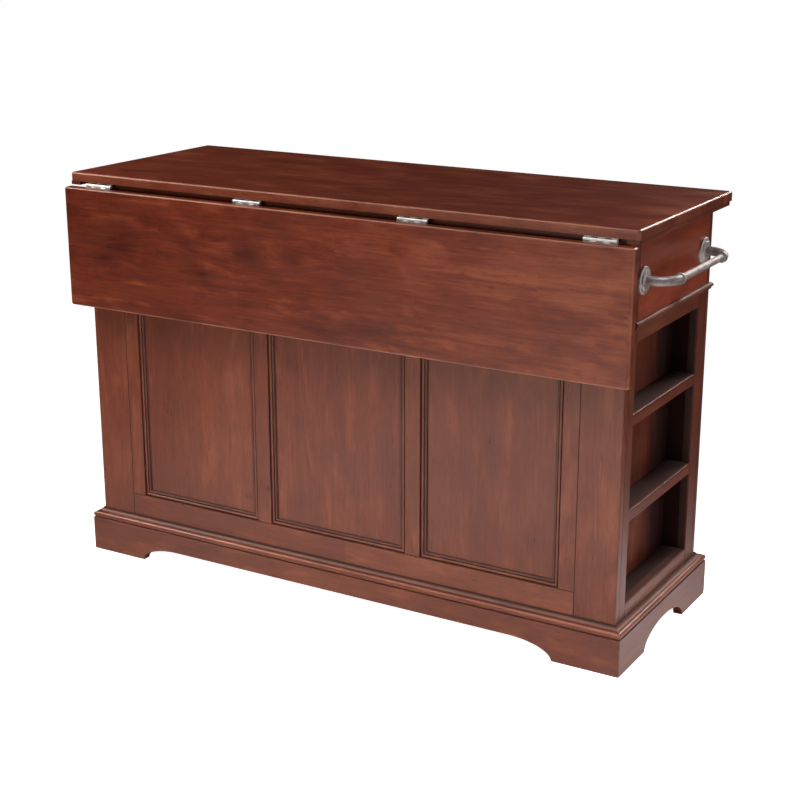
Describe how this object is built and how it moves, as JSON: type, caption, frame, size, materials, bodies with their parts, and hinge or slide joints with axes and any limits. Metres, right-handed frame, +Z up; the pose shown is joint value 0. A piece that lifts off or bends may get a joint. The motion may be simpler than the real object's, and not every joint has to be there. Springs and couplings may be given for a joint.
{
  "type": "mini bar counter",
  "caption": "Stained wood bar counter with a drop leaf on folding stays, panelled side, end niches, towel bar, drawers and cupboard doors on an arched plinth.",
  "frame": {"origin": "centre of the floor under the box of the whole counter with its leaf hanging", "axes": "+X along the counter to the end with niches and towel bar, +Y from the drop leaf to the drawers and doors, +Z up"},
  "size_m": [1.4226, 0.535, 0.914],
  "materials": {
    "stained_wood": "red-brown stain under satin lacquer",
    "inside_wood": "thin red-brown stain, matt lacquer",
    "satin_nickel": "satin nickel plate, slightly darkened",
    "bright_steel": "bright zinc plated steel"
  },
  "bodies": {
    "cabinet": {"back_panel_mouldings": "stained_wood", "back_panels": "stained_wood", "back_rails": "stained_wood", "back_stiles": "stained_wood", "brace_bases": "bright_steel", "cabinet_bottom": "inside_wood", "cabinet_shelves": "inside_wood", "corner_blocks": "inside_wood", "corner_board_left": "stained_wood", "corner_board_right": "stained_wood", "door_hinge_fixed": "bright_steel", "drawer_decks": "inside_wood", "end_rails": "stained_wood", "end_stiles": "stained_wood", "end_upper_panels": "stained_wood", "front_rails": "stained_wood", "front_stiles": "stained_wood", "leaf_hinge_fixed": "bright_steel", "left_end_panel": "stained_wood", "niche_back": "stained_wood", "niche_shelves": "stained_wood", "niche_walls": "stained_wood", "partitions": "inside_wood", "plinth_caps": "stained_wood", "plinth_front": "stained_wood", "plinth_leaf_side": "stained_wood", "plinth_left": "stained_wood", "plinth_right": "stained_wood", "top_battens": "stained_wood", "top_board": "stained_wood", "towel_arms": "satin_nickel", "towel_bar": "satin_nickel", "towel_rosettes": "satin_nickel", "waist_mouldings": "stained_wood"},
    "leaf": {"drop_leaf": "stained_wood", "leaf_hinge_moving": "bright_steel", "brace_leaf_brackets": "bright_steel"},
    "brace_lower_left": {"brace_lower_arm_left": "bright_steel"},
    "brace_upper_left": {"brace_upper_arm_left": "bright_steel"},
    "brace_lower_right": {"brace_lower_arm_right": "bright_steel"},
    "brace_upper_right": {"brace_upper_arm_right": "bright_steel"},
    "drawer_left": {"drawer_left_front": "stained_wood", "drawer_left_box": "inside_wood", "drawer_left_knob": "satin_nickel"},
    "door_left": {"door_left_frame": "stained_wood", "door_left_panel": "stained_wood", "door_left_metal": "bright_steel"},
    "drawer_centre": {"drawer_centre_front": "stained_wood", "drawer_centre_box": "inside_wood", "drawer_centre_knob": "satin_nickel"},
    "door_centre": {"door_centre_frame": "stained_wood", "door_centre_panel": "stained_wood", "door_centre_metal": "bright_steel"},
    "drawer_right": {"drawer_right_front": "stained_wood", "drawer_right_box": "inside_wood", "drawer_right_knob": "satin_nickel"},
    "door_right": {"door_right_frame": "stained_wood", "door_right_panel": "stained_wood", "door_right_metal": "bright_steel"}
  },
  "joints": [
    {"name": "leaf_hinge", "type": "hinge", "parent": "cabinet", "child": "leaf", "pos_m": [-0.02125, -0.2405, 0.887], "axis": [-1, 0, 0], "range_deg": [0, 90]},
    {"name": "brace_lower_left_pivot", "type": "hinge", "parent": "cabinet", "child": "brace_lower_left", "pos_m": [-0.575, -0.2345, 0.737], "axis": [1, 0, 0], "range_deg": [0, 47.34]},
    {"name": "brace_upper_left_pivot", "type": "hinge", "parent": "leaf", "child": "brace_upper_left", "pos_m": [-0.575, -0.2345, 0.737], "axis": [-1, 0, 0], "range_deg": [0, 42.76]},
    {"name": "brace_lower_right_pivot", "type": "hinge", "parent": "cabinet", "child": "brace_lower_right", "pos_m": [0.5325, -0.2345, 0.737], "axis": [1, 0, 0], "range_deg": [0, 47.34]},
    {"name": "brace_upper_right_pivot", "type": "hinge", "parent": "leaf", "child": "brace_upper_right", "pos_m": [0.5325, -0.2345, 0.737], "axis": [-1, 0, 0], "range_deg": [0, 42.76]},
    {"name": "drawer_left_slide", "type": "slide", "parent": "cabinet", "child": "drawer_left", "axis": [0, 1, 0], "range_m": [0, 0.3]},
    {"name": "drawer_centre_slide", "type": "slide", "parent": "cabinet", "child": "drawer_centre", "axis": [0, 1, 0], "range_m": [0, 0.3]},
    {"name": "drawer_right_slide", "type": "slide", "parent": "cabinet", "child": "drawer_right", "axis": [0, 1, 0], "range_m": [0, 0.3]},
    {"name": "door_left_hinge", "type": "hinge", "parent": "cabinet", "child": "door_left", "pos_m": [-0.62225, 0.2315, 0.414], "axis": [0, 0, 1], "range_deg": [0, 95]},
    {"name": "door_centre_hinge", "type": "hinge", "parent": "cabinet", "child": "door_centre", "pos_m": [-0.21292, 0.2315, 0.414], "axis": [0, 0, 1], "range_deg": [0, 95]},
    {"name": "door_right_hinge", "type": "hinge", "parent": "cabinet", "child": "door_right", "pos_m": [0.57975, 0.2315, 0.414], "axis": [0, 0, -1], "range_deg": [0, 95]}
  ],
  "couplings": [
    {"joint": "brace_lower_left_pivot", "follows": "leaf_hinge", "ratio": 0.52545},
    {"joint": "brace_upper_left_pivot", "follows": "leaf_hinge", "ratio": 0.47455},
    {"joint": "brace_lower_right_pivot", "follows": "leaf_hinge", "ratio": 0.52545},
    {"joint": "brace_upper_right_pivot", "follows": "leaf_hinge", "ratio": 0.47455}
  ]
}
